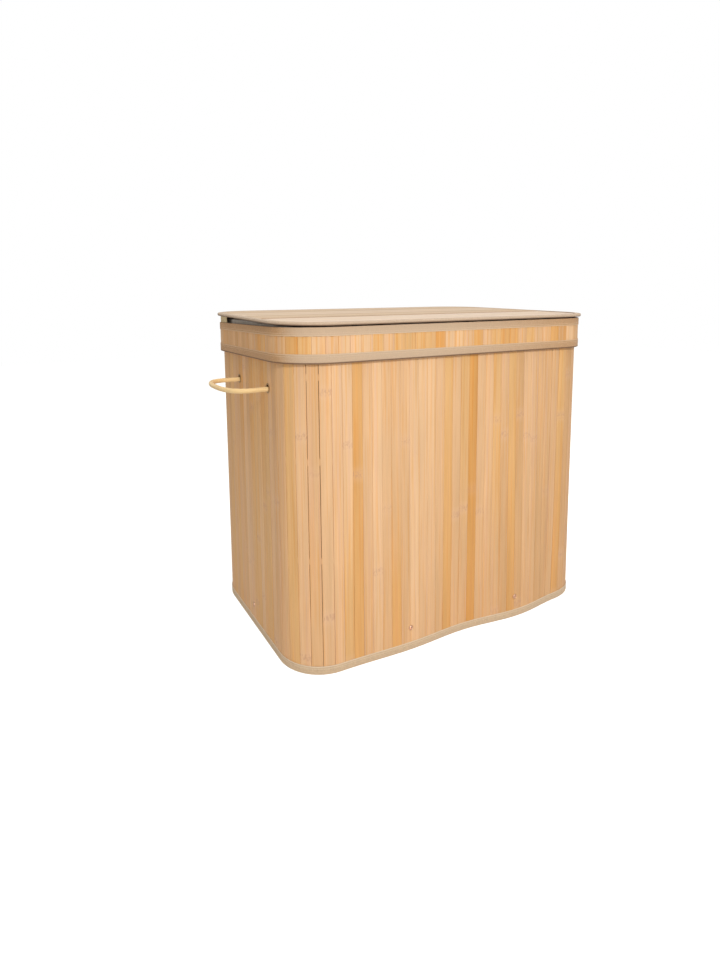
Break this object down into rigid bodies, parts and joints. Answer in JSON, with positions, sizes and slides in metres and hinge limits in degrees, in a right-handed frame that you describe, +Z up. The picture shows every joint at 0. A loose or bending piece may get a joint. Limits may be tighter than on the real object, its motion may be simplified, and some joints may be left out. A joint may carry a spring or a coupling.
{
  "type": "laundry hamper with two bins",
  "caption": "Lidded rectangular laundry hamper of upright bamboo slats with rounded corners, rope handles, a lift-off collar and two removable liner bags.",
  "frame": {"origin": "on the floor, under the middle of the hamper", "axes": "+X along the long front to the right, -Y is the front, +Z is up"},
  "size_m": [0.818, 0.4512, 0.6135],
  "materials": {
    "bamboo": "pale natural bamboo slats, satin, with long fine grain and node marks",
    "collar_bamboo": "warmer natural bamboo slats, satin",
    "lid_bamboo": "pale matt bamboo slats",
    "backing_cloth": "brown backing cloth seen in the joints between slats",
    "tape": "taupe plain-weave binding tape with pale flecks",
    "hinge_cloth": "cream plain-weave cloth",
    "liner": "off-white polyester and cotton lining cloth",
    "board": "plain brown fibreboard",
    "rope": "straw-coloured twisted cotton rope",
    "steel": "plated steel wire, satin"
  },
  "bodies": {
    "basket": {"front_slats": "bamboo", "right_slats": "bamboo", "back_slats": "bamboo", "left_slats": "bamboo", "corner_slats_front_left": "bamboo", "corner_slats_front_right": "bamboo", "corner_slats_back_left": "bamboo", "corner_slats_back_right": "bamboo", "backing_cloth": "backing_cloth", "base_tape": "tape", "rim_tape": "tape", "rim_wire": "steel", "divider_rod": "steel", "base_wire": "steel", "wire_loop_front_left": "tape", "wire_loop_front_right": "tape", "wire_loop_right": "tape", "wire_loop_back_right": "tape", "wire_loop_back_left": "tape", "wire_loop_left": "tape", "rivet_front_left": "steel", "rivet_front_right": "steel", "rivet_right": "steel", "rivet_back_right": "steel", "rivet_back_left": "steel", "rivet_left": "steel", "base_board": "board", "liner_bag_left": "liner", "liner_bag_right": "liner", "liner_strap_left_front": "liner", "liner_strap_left_back": "liner", "liner_strap_right_front": "liner", "liner_strap_right_back": "liner", "eyelet_left_front": "steel", "eyelet_left_back": "steel", "eyelet_right_front": "steel", "eyelet_right_back": "steel", "rope_knot_left_front": "rope", "rope_knot_left_back": "rope", "rope_knot_right_front": "rope", "rope_knot_right_back": "rope"},
    "collar": {"collar_front_slats": "collar_bamboo", "collar_corner_slats_front_right": "collar_bamboo", "collar_right_slats": "collar_bamboo", "collar_corner_slats_back_right": "collar_bamboo", "collar_back_slats": "collar_bamboo", "collar_corner_slats_back_left": "collar_bamboo", "collar_left_slats": "collar_bamboo", "collar_corner_slats_front_left": "collar_bamboo", "collar_backing_cloth": "backing_cloth", "collar_lower_tape": "tape", "collar_upper_tape": "tape", "collar_wire": "steel", "hinge_cloth": "hinge_cloth"},
    "lid": {"lid_board": "board", "lid_slats": "lid_bamboo", "lid_tape": "tape"},
    "left_handle": {"rope_handle_left": "rope"},
    "right_handle": {"rope_handle_right": "rope"}
  },
  "joints": [
    {"name": "collar_lift", "type": "slide", "parent": "basket", "child": "collar", "axis": [0, 0, 1], "range_m": [0, 0.06]},
    {"name": "lid_hinge", "type": "hinge", "parent": "collar", "child": "lid", "pos_m": [0, 0.22565, 0.60735], "axis": [-1, 0, 0], "range_deg": [0, 260]},
    {"name": "left_handle_swing", "type": "hinge", "parent": "basket", "child": "left_handle", "pos_m": [-0.34085, -0.03, 0.48335], "axis": [0, 1, 0], "range_deg": [-80, 75]},
    {"name": "right_handle_swing", "type": "hinge", "parent": "basket", "child": "right_handle", "pos_m": [0.34085, -0.03, 0.48335], "axis": [0, -1, 0], "range_deg": [-80, 75]}
  ]
}
